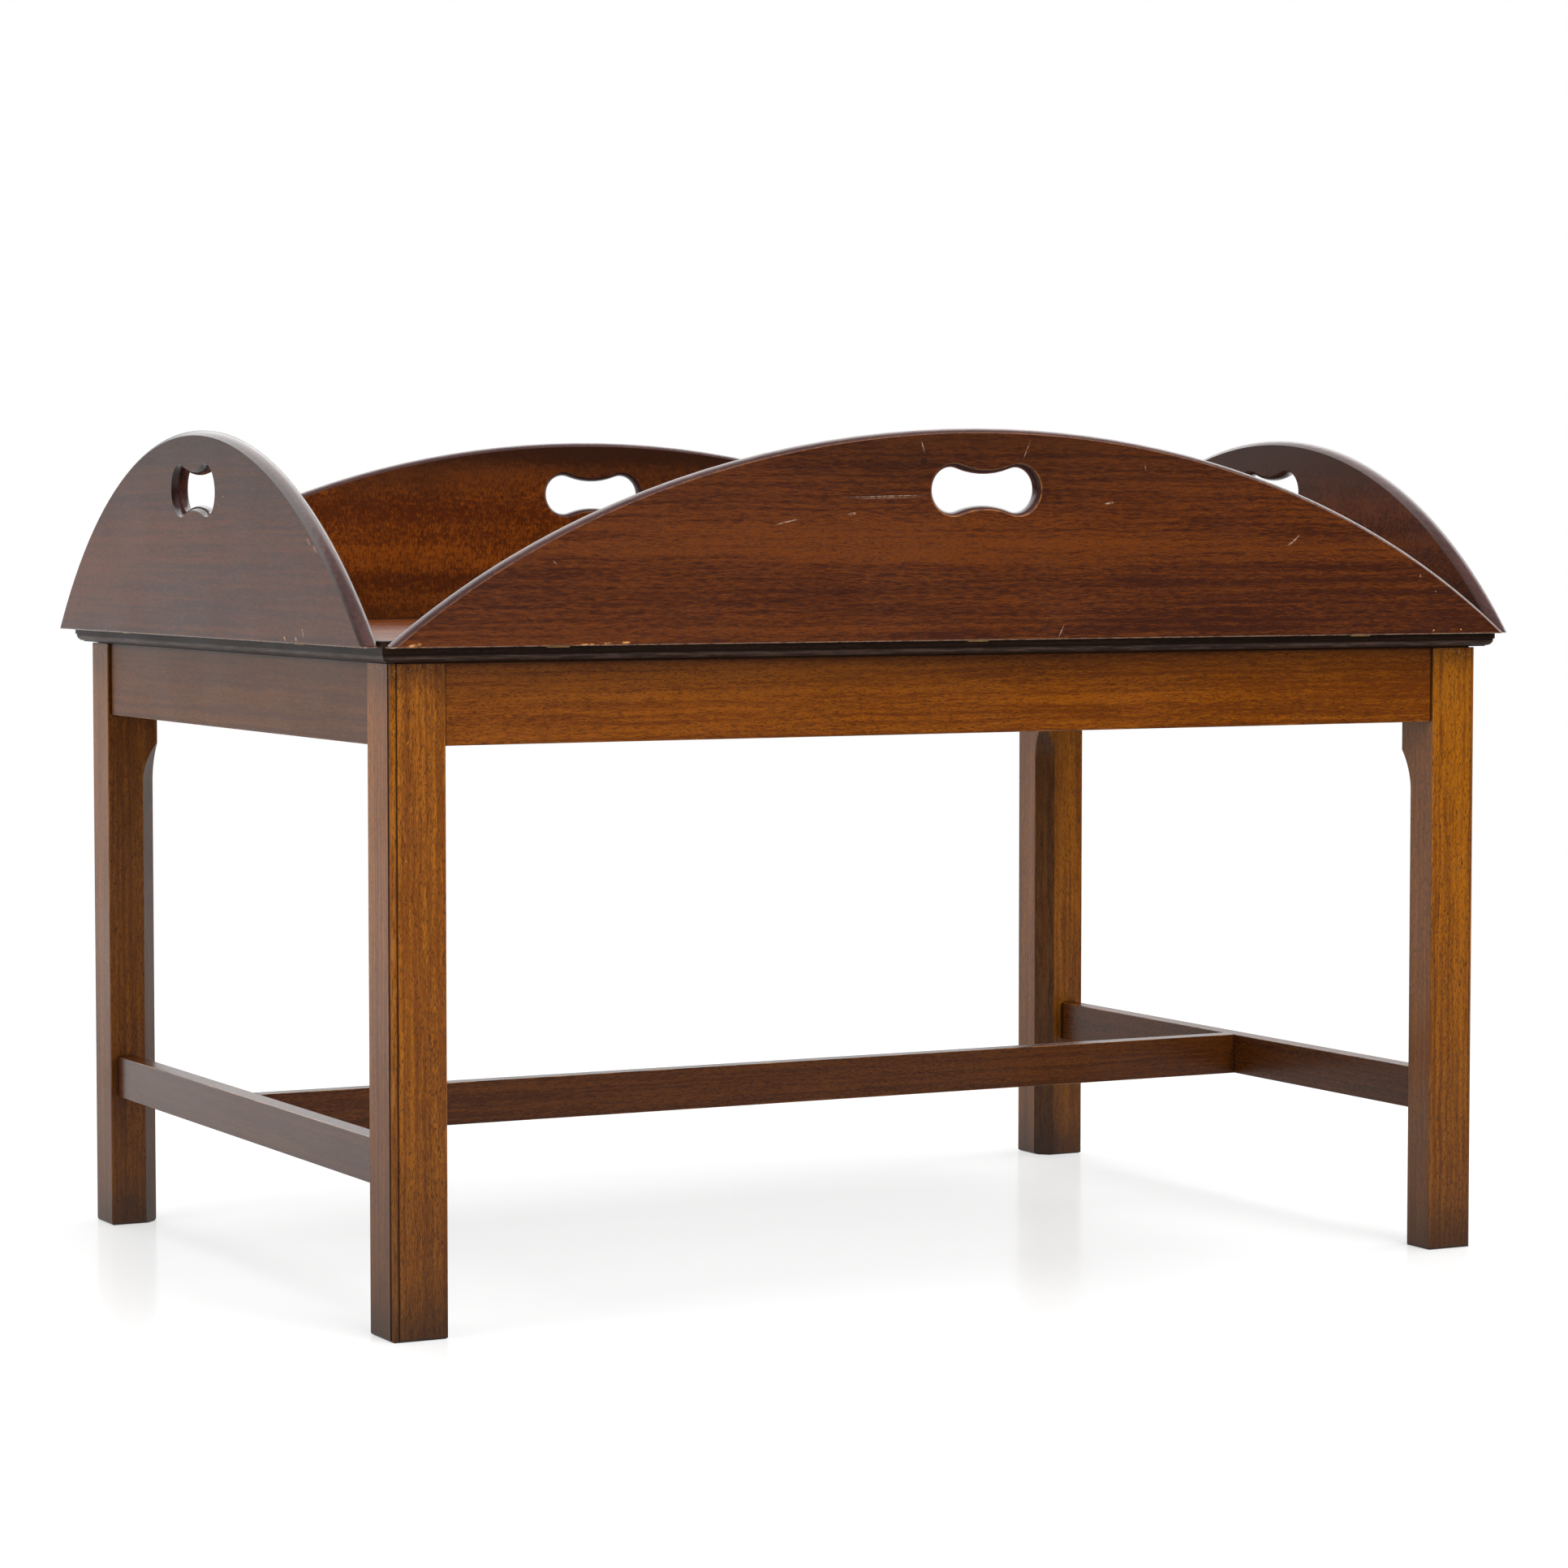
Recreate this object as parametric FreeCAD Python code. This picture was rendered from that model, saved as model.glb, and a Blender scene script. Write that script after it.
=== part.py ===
import FreeCAD, Part
import math
import os
from FreeCAD import Placement, Rotation, Vector

# Butler's tray table: a stand, a lift-off tray, and four leaves that swing up around the tray.
# Millimetres, +Z up. The origin is on the floor under the middle of the tray. +X runs to the right
# along the long front side, and the front faces -Y.

# Stand, measured over the outer faces of the legs
stand_length = 893.0
stand_width = 619.0
leg_height = 460.0

# Legs: the outer corner carries a small ovolo, the inner corner a chamfer with a curved stop
leg_side = 40.7
leg_arris = 1.0
ovolo_width = 5.0
ovolo_quirk = 0.8
chamfer_width = 12.4
chamfer_knee_drop = 22.0
chamfer_stop_radius = 63.0
foot_rounding = 2.5

# Aprons, tenoned into the legs
apron_height = 56.0
apron_thickness = 20.0
apron_setback = 2.5
apron_arris = 1.0
apron_tenon_thickness = 9.0
apron_tenon_shoulder = 8.0
tenon_web = 1.7

# Stretchers: one along each end, and one between them
stretcher_height = 32.0
stretcher_thickness = 15.0
stretcher_floor_gap = 102.3
stretcher_inset = 5.5
stretcher_arris = 0.8
stretcher_tenon_thickness = 7.0
stretcher_tenon_shoulder = 6.0
stretcher_tenon_length = 18.0
stretcher_blind_wall = 5.0

# Fit of tenons and screws in their holes
joint_clearance = 0.1
mortise_end_gap = 0.5
screw_clearance = 0.05

# Corner braces inside the apron frame
brace_depth = 21.0
brace_leg_gap = 1.0
brace_batten_gap = 3.0
brace_apron_inset = 5.0
brace_screw_seat = 9.0

# Tray panel with mitred edge mouldings
tray_overhang = 9.3
tray_thickness = 16.0
edge_width = 14.0
edge_flat = 9.2
edge_arris = 1.0
edge_quirk_depth = 0.9
edge_quirk_height = 0.8
edge_ovolo_radius = 4.4
edge_shadow_gap = 1.0

# Battens under the tray, which drop between the end aprons
batten_height = 18.0
batten_width = 22.0
batten_side_gap = 2.0
batten_end_gap = 10.0
batten_arris = 1.5
batten_screw_end = 40.0
batten_screw_bite = 10.0

# Leaves: elliptical outline and hand hole, both with a bulging edge between crisp corners
leaf_thickness = 13.0
leaf_rise = 150.5
leaf_tip = 1.5
leaf_end_gap = 1.0
leaf_edge_bulge = 3.4
leaf_edge_flat = 0.8
leaf_arris = 1.0
leaf_lean = 1.5
long_arc_reach = 168.0
short_arc_reach = 132.0
hole_length = 85.0
hole_height = 31.8
hole_waist = 22.2
hole_distance = 107.0

# Hinges: the pin lies outside the tray edge and below the tray top
pin_edge_gap = 0.65
pin_drop = 2.85
pin_radius = 1.25
pin_clearance = 0.05
leaf_joint_gap = 2.0
knuckle_radius = 3.2
knuckle_gap = 0.2
leaf_knuckle_length = 8.0
tray_knuckle_length = 4.0
notch_clearance = 0.4
plate_width = 22.0
plate_length = 28.0
plate_thickness = 2.0
plate_screw_distance = 16.0
plate_screw_spread = 13.0
spring_thickness = 0.7
spring_width = 7.0
spring_length = 20.0
spring_gap = 0.3
long_hinge_end = 127.0
short_hinge_end = 138.0

# Countersunk wood screws
hinge_screw_length = 10.0
hinge_screw_radius = 1.4
hinge_screw_head = 2.8
frame_screw_length = 24.0
frame_screw_radius = 2.0
frame_screw_head = 4.0
screw_tip_length = 2.5
screw_slot_width = 0.6
screw_slot_depth = 0.5

# Places that follow from the sizes above
tray_length = stand_length + 2 * tray_overhang
tray_width = stand_width + 2 * tray_overhang
tray_top = leg_height + tray_thickness
apron_bottom = leg_height - apron_height
apron_inner_x = stand_length / 2 - apron_setback - apron_thickness
apron_inner_y = stand_width / 2 - apron_setback - apron_thickness
apron_tenon_line = apron_setback + (apron_thickness + apron_tenon_thickness) / 2
apron_tenon_length = leg_side - apron_tenon_line - tenon_web
stretcher_x = stand_length / 2 - stretcher_inset - stretcher_thickness / 2
brace_top = leg_height - batten_height - brace_batten_gap
brace_bottom = apron_bottom + brace_apron_inset
pin_outset = knuckle_radius + pin_edge_gap
knuckle_span = leaf_knuckle_length + 2 * (knuckle_gap + tray_knuckle_length)
leaf_edge_half = (leaf_thickness - leaf_edge_flat) / 2
leaf_edge_radius = (leaf_edge_half ** 2 + leaf_edge_bulge ** 2) / (2 * leaf_edge_bulge)
swing = 90.0 - leaf_lean

# A side of the tray: its length, the tray's size across it, how far the leaf's ellipse reaches past
# the leaf's end, and how far the outermost hinges stand from the tray's corners
long_side = (tray_length, tray_width, long_arc_reach, long_hinge_end)
short_side = (tray_width, tray_length, short_arc_reach, short_hinge_end)
sides = {"front": long_side, "right": short_side, "back": long_side, "left": short_side}
# The sides follow each other by quarter turns from the front, and each names its hinges in that sense.
# They are spaced evenly along the side.
hinge_names = {
    "front": ("left", "middle", "right"),
    "right": ("front", "back"),
    "back": ("right", "middle", "left"),
    "left": ("back", "front"),
}
AXIS_X = Vector(1, 0, 0)
AXIS_Z = Vector(0, 0, 1)


def block(low, high):
    """Box between two corners."""
    size = Vector(*high) - Vector(*low)
    return Part.makeBox(size.x, size.y, size.z, Vector(*low))


def turned(shape, angle, move):
    """Copy of a shape, turned about Z and then moved."""
    copy = shape.copy()
    copy.Placement = Placement(Vector(*move), Rotation(AXIS_Z, angle))
    return copy


def edges_where(shape, test):
    """Edges whose bounding box passes a test."""
    return [edge for edge in shape.Edges if test(edge.BoundBox)]


def prism(edges, sweep):
    """Solid swept from a closed run of edges."""
    wire = Part.Wire(edges)
    return Part.Face(wire).extrude(Vector(*sweep))


def polygon(points):
    """Closed run of straight edges."""
    ring = [Vector(*point) for point in points]
    return Part.makePolygon(ring + ring[:1]).Edges


def countersunk(length, radius, head, grow=0.0):
    """Countersunk screw body, pointing down from its head at the origin."""
    head_height = head - radius
    cone = Part.makeCone(radius + grow, head + grow, head_height, Vector(0, 0, -head_height))
    shank_top = -head_height
    shank_bottom = -length + screw_tip_length
    shank = Part.makeCylinder(radius + grow, shank_top - shank_bottom, Vector(0, 0, shank_bottom))
    tip = Part.makeCone(grow, radius + grow, screw_tip_length, Vector(0, 0, -length))
    return cone.fuse(shank).fuse(tip).removeSplitter()


def screw(length, radius, head):
    """Countersunk screw with a slotted head."""
    half, deep = screw_slot_width / 2, screw_slot_depth
    slot = block((-head, -half, -deep), (head, half, deep))
    return countersunk(length, radius, head).cut(slot)


def aimed(shape, point, direction):
    """Copy of a shape that points down, moved to a point and aimed along a direction."""
    copy = shape.copy()
    copy.Placement = Placement(Vector(*point), Rotation(Vector(0, 0, -1), Vector(*direction)))
    return copy


def tenons(length, reach, thickness, low, high, grow=0.0, end_gap=0.0):
    """Two tenons, one past each end of a rail that lies along X."""
    half = thickness / 2 + grow
    far = length / 2 + reach + end_gap
    pair = []
    for sign in (-1, 1):
        ends = sorted((sign * length / 2, sign * far))
        pair.append(block((ends[0], -half, low - grow), (ends[1], half, high + grow)))
    return pair


def rail(length, thickness, height, arris, top_too, tongues):
    """Rail along X with rounded long edges, resting on z = 0, with its tenons."""
    bar = block((-length / 2, -thickness / 2, 0), (length / 2, thickness / 2, height))

    def long_edge(box):
        along = box.XLength > length / 2
        return along and (top_too or box.ZMax < height / 2)

    bar = bar.makeFillet(arris, edges_where(bar, long_edge))
    for tongue in tongues:
        bar = bar.fuse(tongue)
    return bar.removeSplitter()


def stand_rails():
    """Aprons and stretchers, each with the mortises that its tenons need."""
    clear = (joint_clearance, mortise_end_gap)
    rails = {}
    mortises = []

    def add(name, angle, place, length, thickness, height, arris, top_too, reach, tongue, shoulder):
        low, high = shoulder, height - shoulder
        tongues = tenons(length, reach, tongue, low, high)
        holes = tenons(length, reach, tongue, low, high, *clear)
        rails[name] = turned(rail(length, thickness, height, arris, top_too, tongues), angle, place)
        mortises.extend(turned(hole, angle, place) for hole in holes)

    apron = (apron_thickness, apron_height, apron_arris, False)
    apron_joint = (apron_tenon_length, apron_tenon_thickness, apron_tenon_shoulder)
    apron_x = apron_inner_x + apron_thickness / 2
    apron_y = apron_inner_y + apron_thickness / 2
    clear_length = stand_length - 2 * leg_side
    clear_width = stand_width - 2 * leg_side
    add("apron_front", 0, (0, -apron_y, apron_bottom), clear_length, *apron, *apron_joint)
    add("apron_back", 0, (0, apron_y, apron_bottom), clear_length, *apron, *apron_joint)
    add("apron_left", 90, (-apron_x, 0, apron_bottom), clear_width, *apron, *apron_joint)
    add("apron_right", 90, (apron_x, 0, apron_bottom), clear_width, *apron, *apron_joint)

    bar = (stretcher_thickness, stretcher_height, stretcher_arris, True)
    end_joint = (stretcher_tenon_length, stretcher_tenon_thickness, stretcher_tenon_shoulder)
    blind = stretcher_thickness - stretcher_blind_wall
    blind_joint = (blind, stretcher_tenon_thickness, stretcher_tenon_shoulder)
    middle_length = 2 * stretcher_x - stretcher_thickness
    height = stretcher_floor_gap
    add("stretcher_left", 90, (-stretcher_x, 0, height), clear_width, *bar, *end_joint)
    add("stretcher_right", 90, (stretcher_x, 0, height), clear_width, *bar, *end_joint)
    add("stretcher_middle", 0, (0, 0, height), middle_length, *bar, *blind_joint)
    for name in ("stretcher_left", "stretcher_right"):
        rails[name] = rails[name].cut(mortises[-2:])
    return rails, mortises


def leg(sign_x, sign_y, mortises):
    """Leg at one corner, drawn from its outer corner inwards."""

    def spot(u, v, z=0.0):
        return Vector(sign_x * (stand_length / 2 - u), sign_y * (stand_width / 2 - v), z)

    def arc(first, middle, last):
        return Part.Arc(spot(*first), spot(*middle), spot(*last)).toShape()

    def line(first, last):
        return Part.makeLine(spot(*first), spot(*last))

    side, arris, bend = leg_side, leg_arris, leg_arris * (1 - math.sqrt(0.5))
    wide, quirk = ovolo_width, ovolo_quirk
    crown = wide - (wide - quirk) * math.sqrt(0.5)
    outline = [
        line((wide, 0), (wide, quirk)),
        arc((wide, quirk), (crown, crown), (quirk, wide)),
        line((quirk, wide), (0, wide)),
        line((0, wide), (0, side - arris)),
        arc((0, side - arris), (bend, side - bend), (arris, side)),
        line((arris, side), (side - arris, side)),
        arc((side - arris, side), (side - bend, side - bend), (side, side - arris)),
        line((side, side - arris), (side, arris)),
        arc((side, arris), (side - bend, bend), (side - arris, 0)),
        line((side - arris, 0), (wide, 0)),
    ]
    post = prism(outline, (0, 0, leg_height))

    near, far = spot(0, 0), spot(side, side)
    low = (min(near.x, far.x), min(near.y, far.y), 0)
    high = (max(near.x, far.x), max(near.y, far.y), leg_height)
    soft = block(low, high)
    soft = soft.makeFillet(foot_rounding, edges_where(soft, lambda box: box.ZMax < leg_height / 2))
    post = post.common(soft).cut(chamfer_cutter(spot))
    return post.cut(mortises).removeSplitter()


def chamfer_cutter(spot):
    """Wedge that takes the inner corner off a leg, up to a hollow stop below the apron."""
    depth = chamfer_width * math.sqrt(0.5)
    rise = math.sqrt(depth * (2 * chamfer_stop_radius - depth))
    knee = apron_bottom - chamfer_knee_drop
    full = knee - rise
    half_width = 2 * chamfer_width
    turn = math.asin(rise / chamfer_stop_radius) / 2
    mid_in = depth - chamfer_stop_radius * (1 - math.cos(turn))
    mid_up = full + chamfer_stop_radius * math.sin(turn)

    def at(inward, up, across=-half_width):
        u = leg_side - (inward - across) * math.sqrt(0.5)
        v = leg_side - (inward + across) * math.sqrt(0.5)
        return spot(u, v, up)

    outside, below = -chamfer_width, -foot_rounding
    profile = [
        Part.makeLine(at(outside, below), at(depth, below)),
        Part.makeLine(at(depth, below), at(depth, full)),
        Part.Arc(at(depth, full), at(mid_in, mid_up), at(0, knee)).toShape(),
        Part.makeLine(at(0, knee), at(outside, knee)),
        Part.makeLine(at(outside, knee), at(outside, below)),
    ]
    return prism(profile, at(0, 0, half_width) - at(0, 0))


def braces():
    """Slanted blocks across the apron corners, with a screw into each apron."""
    leg_step = leg_side - apron_setback - apron_thickness
    near = 2 * leg_step + brace_leg_gap
    far = near + brace_depth * math.sqrt(2)
    middle = (near + far) / 2
    seat = brace_screw_seat
    height = (brace_bottom + brace_top) / 2
    body = screw(frame_screw_length, frame_screw_radius, frame_screw_head)
    hole = countersunk(frame_screw_length, frame_screw_radius, frame_screw_head, screw_clearance)
    well = Part.makeCylinder(frame_screw_head + screw_clearance, far)
    blocks, screws, holes = {}, [], []
    for end, sign_y in (("front", -1), ("back", 1)):
        for hand, sign_x in (("left", -1), ("right", 1)):
            def spot(u, v, z):
                return (sign_x * (apron_inner_x - u), sign_y * (apron_inner_y - v), z)

            ring = [(near, 0), (far, 0), (0, far), (0, near)]
            corners = [spot(u, v, brace_bottom) for u, v in ring]
            wedge = prism(polygon(corners), (0, 0, brace_top - brace_bottom))
            for point, aim in ((spot(middle, seat, height), (0, sign_y, 0)),
                               (spot(seat, middle, height), (sign_x, 0, 0))):
                screws.append(aimed(body, point, aim))
                bore = aimed(hole, point, aim)
                holes.append(bore)
                wedge = wedge.cut(bore).cut(aimed(well, point, aim))
            blocks["corner_brace_%s_%s" % (end, hand)] = wedge
    return blocks, screws, holes


def battens():
    """Two battens under the tray with their screws, which are driven up from below."""
    half = stand_width / 2 - leg_side - batten_end_gap
    outer = apron_inner_x - batten_side_gap
    bottom = leg_height - batten_height
    length = batten_height + batten_screw_bite
    body = screw(length, frame_screw_radius, frame_screw_head)
    hole = countersunk(length, frame_screw_radius, frame_screw_head, screw_clearance)
    strips, screws, holes = {}, [], []
    for hand, sign in (("left", -1), ("right", 1)):
        ends = sorted((sign * outer, sign * (outer - batten_width)))
        strip = block((ends[0], -half, bottom), (ends[1], half, leg_height))
        lower = edges_where(strip, lambda box: box.ZMax < leg_height - batten_arris)
        strip = strip.makeFillet(batten_arris, lower)
        for y in (-half + batten_screw_end, 0, half - batten_screw_end):
            point = (sum(ends) / 2, y, bottom)
            screws.append(aimed(body, point, (0, 0, 1)))
            holes.append(aimed(hole, point, (0, 0, 1)))
        strips["tray_batten_" + hand] = strip.cut(holes[-3:])
    return strips, screws, holes


def side_turn(name):
    """Turn that takes the front to another side."""
    return Rotation(AXIS_Z, 90.0 * list(sides).index(name))


def edge_moulding(name):
    """Mitred moulding of a side, drawn along X: outer edge y = 0, the tray at +Y, tray top z = 0."""
    length, across = sides[name][:2]
    bottom = edge_shadow_gap - tray_thickness
    shelf = -edge_flat - edge_quirk_height
    back = edge_quirk_depth + edge_ovolo_radius
    low = shelf - edge_ovolo_radius
    half_turn = math.sqrt(0.5)
    lip = edge_arris * (1 - half_turn)
    start = -length / 2

    def spot(y, z):
        return Vector(start, y, z)

    def arc(first, middle, last):
        return Part.Arc(spot(*first), spot(*middle), spot(*last)).toShape()

    bulge = (back - edge_ovolo_radius * half_turn, shelf - edge_ovolo_radius * half_turn)
    corners = [(back, low), (back, bottom), (edge_width, bottom), (edge_width, 0), (edge_arris, 0)]
    profile = [Part.makeLine(spot(*a), spot(*b)) for a, b in zip(corners, corners[1:])]
    profile.append(arc((edge_arris, 0), (lip, -lip), (0, -edge_arris)))
    corners = [(0, -edge_arris), (0, -edge_flat), (edge_quirk_depth, -edge_flat), (edge_quirk_depth, shelf)]
    profile += [Part.makeLine(spot(*a), spot(*b)) for a, b in zip(corners, corners[1:])]
    profile.append(arc((edge_quirk_depth, shelf), bulge, (back, low)))
    strip = prism(profile, (length, 0, 0))
    short = length / 2 - edge_width
    mitre = polygon([(start, 0, -tray_thickness), (-start, 0, -tray_thickness),
                     (short, edge_width, -tray_thickness), (-short, edge_width, -tray_thickness)])
    strip = strip.common(prism(mitre, (0, 0, 2 * tray_thickness)))
    turn = side_turn(name)
    strip.Placement = Placement(turn.multVec(Vector(0, -across / 2, tray_top)), turn)
    return strip


# The hinge frame of a side: the pin axis is X, outwards is -Y, the tray edge is y = pin_outset and
# the tray top is z = pin_drop. Leaf pieces are drawn lying open and flat, and are then swung up.

def plate_blank(grow=0.0, rise=0.0):
    """Hinge plate with one round end, from the tray edge inwards and flush with the tray top."""
    half = plate_width / 2 + grow
    round_end = pin_outset + plate_length - plate_width / 2
    low = pin_drop - plate_thickness
    height = plate_thickness + rise
    body = block((-half, pin_outset - grow, low), (half, round_end, low + height))
    end = Part.makeCylinder(half, height, Vector(0, round_end, low))
    return body.fuse(end).removeSplitter()


def screw_spots():
    """Where the two screws of a plate enter it."""
    y = pin_outset + plate_screw_distance
    return [(sign * plate_screw_spread / 2, y, pin_drop) for sign in (-1, 1)]


def plate_with_knuckles(spans):
    """Hinge plate with a barrel over each span of the pin, bored and countersunk."""
    plate = plate_blank()
    low = pin_drop - plate_thickness
    for start, end in spans:
        barrel = Part.makeCylinder(knuckle_radius, end - start, Vector(start, 0, 0), AXIS_X)
        tab = block((start, 0, low), (end, pin_outset, pin_drop))
        plate = plate.fuse(barrel).fuse(tab)
    hole = countersunk(hinge_screw_length, hinge_screw_radius, hinge_screw_head, screw_clearance)
    cuts = [aimed(hole, point, (0, 0, -1)) for point in screw_spots()]
    cuts.append(hinge_pin(pin_clearance))
    return plate.removeSplitter().cut(cuts)


def tray_plate():
    """Plate let into the tray, with the two outer knuckles."""
    inner = leaf_knuckle_length / 2 + knuckle_gap
    outer = knuckle_span / 2
    return plate_with_knuckles([(-outer, -inner), (inner, outer)])


def leaf_plate():
    """Plate let into the leaf, with the middle knuckle, lying open: the tray plate's half turned round."""
    half = leaf_knuckle_length / 2
    return turned(plate_with_knuckles([(-half, half)]), 180, (0, 0, 0))


def hinge_pin(grow=0.0):
    """Pin through all three knuckles."""
    return Part.makeCylinder(pin_radius + grow, knuckle_span, Vector(-knuckle_span / 2, 0, 0), AXIS_X)


def spring_box(grow=0.0):
    """Flat spring under the tray plate: its nose stands against the leaf's knuckle."""
    half = spring_width / 2 + grow
    nose = knuckle_radius + spring_gap
    top = pin_drop - plate_thickness
    return block((-half, nose - grow, top - spring_thickness), (half, nose + spring_length + grow, top))


def plate_sinking():
    """What is cut from the tray for one hinge: plate, spring and screws."""
    hole = countersunk(hinge_screw_length, hinge_screw_radius, hinge_screw_head, screw_clearance)
    cuts = [aimed(hole, point, (0, 0, -1)) for point in screw_spots()]
    sinking = plate_blank(joint_clearance, tray_thickness)
    return [sinking, spring_box(joint_clearance)] + cuts


def leaf_sinking():
    """What is cut from an open leaf for one hinge: plate, screws and room for the knuckles."""
    hole = countersunk(hinge_screw_length, hinge_screw_radius, hinge_screw_head, screw_clearance)
    cuts = [aimed(hole, (x, -y, z), (0, 0, -1)) for x, y, z in screw_spots()]
    sinking = turned(plate_blank(joint_clearance, tray_thickness), 180, (0, 0, 0))
    half = knuckle_span / 2 + notch_clearance
    room = knuckle_radius + notch_clearance
    notch = block((-half, -pin_outset, -room), (half, pin_outset, tray_thickness))
    return [sinking, notch] + cuts


def hand_hole():
    """Waisted hand hole through an open leaf: two round lobes joined by hollow curves."""
    lobe = hole_height / 2
    waist = hole_waist / 2
    centre = hole_length / 2 - lobe
    bow = (centre ** 2 + waist ** 2 - lobe ** 2) / (2 * (lobe - waist))
    share = lobe / (bow + lobe)
    touch_x = centre * (1 - share)
    touch_y = (bow + waist) * share
    middle = pin_outset - leaf_joint_gap - hole_distance
    bottom = pin_drop - 2 * leaf_thickness

    def arc(*points):
        return Part.Arc(*[Vector(x, middle + y, bottom) for x, y in points]).toShape()

    outline = [
        arc((touch_x, touch_y), (hole_length / 2, 0), (touch_x, -touch_y)),
        arc((touch_x, -touch_y), (0, -waist), (-touch_x, -touch_y)),
        arc((-touch_x, -touch_y), (-hole_length / 2, 0), (-touch_x, touch_y)),
        arc((-touch_x, touch_y), (0, waist), (touch_x, touch_y)),
    ]
    return prism(outline, (0, 0, 3 * leaf_thickness))


def leaf(side_length, arc_reach):
    """Leaf lying open: an elliptical board, rounded while too thick and then sliced to its thickness."""
    half = side_length / 2 - leaf_end_gap
    wide = half + arc_reach
    deep = (leaf_rise - leaf_tip) / (1 - math.sqrt(1 - (half / wide) ** 2))
    straight = pin_outset - leaf_joint_gap
    bottom, top = pin_drop - leaf_thickness, pin_drop
    blank = 2 * leaf_edge_radius + leaf_edge_flat
    low = (bottom + top - blank) / 2
    centre = Vector(0, straight - leaf_rise + deep, low)
    axes = [centre + Vector(wide, 0, 0), centre + Vector(0, deep, 0)]
    if deep > wide:
        axes.reverse()
    board = prism([Part.Ellipse(axes[0], axes[1], centre).toShape()], (0, 0, blank))
    spare = 2 * leaf_edge_radius
    crown = straight - leaf_rise - spare
    board = board.common(block((-wide, crown, low), (wide, straight + spare, low + blank)))

    def lies_flat(box):
        return box.ZLength < leaf_thickness / 2

    def rim(box):
        return lies_flat(box) and box.YLength > leaf_rise / 2

    def rim_of_hole(box):
        return lies_flat(box) and box.XMin > -hole_length and box.XMax < hole_length

    board = board.makeFillet(leaf_edge_radius, edges_where(board, rim))
    board = board.cut(hand_hole())
    board = board.makeFillet(leaf_edge_radius, edges_where(board, rim_of_hole))

    def hinge_edge(box):
        return box.XLength > half and box.YMin > straight - leaf_arris

    keep = block((-half, crown, bottom), (half, straight, top))
    keep = keep.makeFillet(leaf_arris, edges_where(keep, hinge_edge))
    return board.common(keep)


def shifted(shape, x):
    """Copy of a shape moved along X, keeping its own placement."""
    copy = shape.copy()
    copy.translate(Vector(x, 0, 0))
    return copy


def dress_side(name):
    """Leaf, hinges and their screws on one side of the tray, with the cuts that the tray needs."""
    side_length, across, arc_reach, hinge_end = sides[name]
    turn = side_turn(name)
    pin = turn.multVec(Vector(0, -across / 2 - pin_outset, tray_top - pin_drop))
    frame = Placement(pin, turn)
    swung = Placement(Vector(0, 0, 0), Rotation(AXIS_X, -swing))

    def put(shape, x=0.0, leafy=False):
        copy = shape.copy()
        slid = Placement(Vector(x, 0, 0), Rotation())
        chain = frame.multiply(swung) if leafy else frame
        copy.Placement = chain.multiply(slid).multiply(shape.Placement)
        return copy

    board = leaf(side_length, arc_reach)
    fixing = screw(hinge_screw_length, hinge_screw_radius, hinge_screw_head)
    names = hinge_names[name]
    spacing = (side_length - 2 * hinge_end) / (len(names) - 1)
    pieces, tray_cuts, leaf_screws, tray_screws, springs, pins = {}, [], [], [], [], []
    for index, place in enumerate(names):
        x = hinge_end - side_length / 2 + index * spacing
        tag = "%s_%s" % (name, place)
        pieces["hinge_tray_plate_" + tag] = put(tray_plate(), x)
        pieces["hinge_leaf_plate_" + tag] = put(leaf_plate(), x, True)
        pins.append(put(hinge_pin(), x))
        springs.append(put(spring_box(), x))
        board = board.cut([shifted(cut, x) for cut in leaf_sinking()])
        tray_cuts += [put(cut, x) for cut in plate_sinking()]
        for point in screw_spots():
            tray_screws.append(put(aimed(fixing, point, (0, 0, -1)), x))
            opposite = (point[0], -point[1], point[2])
            leaf_screws.append(put(aimed(fixing, opposite, (0, 0, -1)), x, True))
    pieces["leaf_" + name] = put(board, 0.0, True)
    pieces["leaf_screws_" + name] = Part.makeCompound(leaf_screws)
    pieces["hinge_pins_" + name] = Part.makeCompound(pins)
    return pieces, tray_cuts, tray_screws, springs


def build():
    """All pieces by name."""
    pieces, mortises = stand_rails()
    for end, sign_y in (("front", -1), ("back", 1)):
        for hand, sign_x in (("left", -1), ("right", 1)):
            pieces["leg_%s_%s" % (end, hand)] = leg(sign_x, sign_y, mortises)

    blocks, brace_screws, brace_holes = braces()
    pieces.update(blocks)
    pieces["brace_screws"] = Part.makeCompound(brace_screws)
    for name in ("apron_front", "apron_back", "apron_left", "apron_right"):
        pieces[name] = pieces[name].cut(brace_holes)

    strips, batten_screws, batten_holes = battens()
    pieces.update(strips)
    pieces["batten_screws"] = Part.makeCompound(batten_screws)

    half_x = tray_length / 2 - edge_width
    half_y = tray_width / 2 - edge_width
    panel = block((-half_x, -half_y, leg_height), (half_x, half_y, tray_top)).cut(batten_holes)
    tray_screws, springs = [], []
    for name in sides:
        side_pieces, cuts, side_screws, side_springs = dress_side(name)
        pieces.update(side_pieces)
        tray_screws += side_screws
        springs += side_springs
        pieces["tray_edge_" + name] = edge_moulding(name).cut(cuts)
        panel = panel.cut(cuts)
    pieces["tray_panel"] = panel
    pieces["hinge_screws_tray"] = Part.makeCompound(tray_screws)
    pieces["hinge_springs"] = Part.makeCompound(springs)
    return pieces


os.makedirs("parts", exist_ok=True)
for node, shape in build().items():
    shape.exportStep("parts/%s.step" % node)
    print("%-30s solids %2d  valid %s" % (node, len(shape.Solids), shape.isValid()))
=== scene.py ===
import math

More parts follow.
